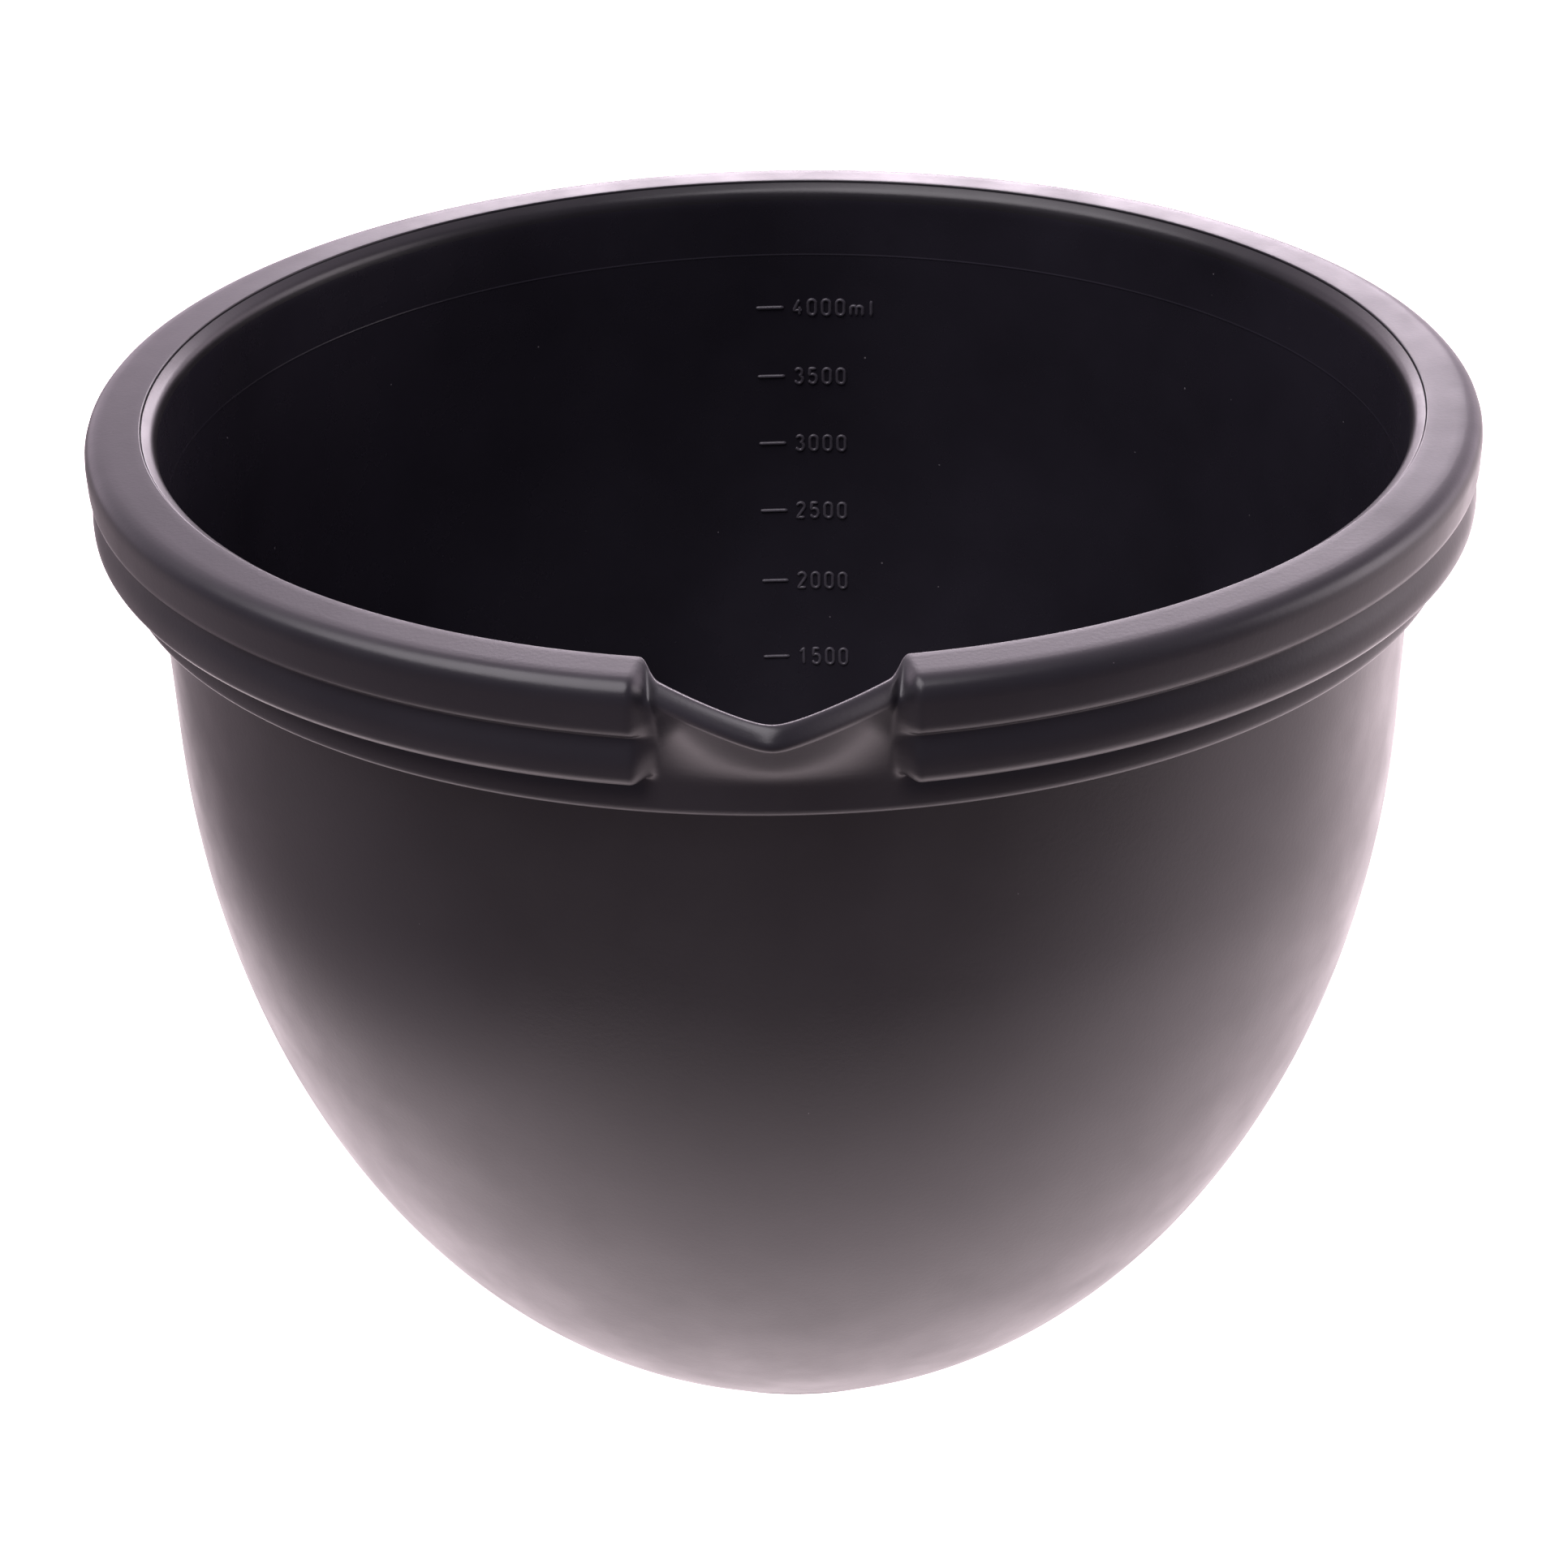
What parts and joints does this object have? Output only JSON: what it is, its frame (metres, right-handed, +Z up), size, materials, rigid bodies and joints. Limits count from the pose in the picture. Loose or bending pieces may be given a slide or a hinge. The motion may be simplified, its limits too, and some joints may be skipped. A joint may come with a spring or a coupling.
{
  "type": "mixing bowl",
  "caption": "Deep round mixing bowl with a stepped grip collar, a V-shaped pouring spout, raised volume marks inside and a non-slip foot ring.",
  "frame": {"origin": "on the bowl's axis in the plane that it stands on", "axes": "+Z up the bowl's axis, -Y towards the pouring spout, +Y towards the wall with the volume marks"},
  "size_m": [0.23, 0.2406, 0.182],
  "materials": {
    "shell_black": "satin black polypropylene, fine moulded texture outside and smoother inside",
    "collar_black": "satin black moulded plastic",
    "foot_rubber": "matt black soft rubber"
  },
  "bodies": {
    "root": {"bowl_shell": "shell_black", "rim_collar": "collar_black", "foot_ring": "foot_rubber"}
  },
  "joints": []
}
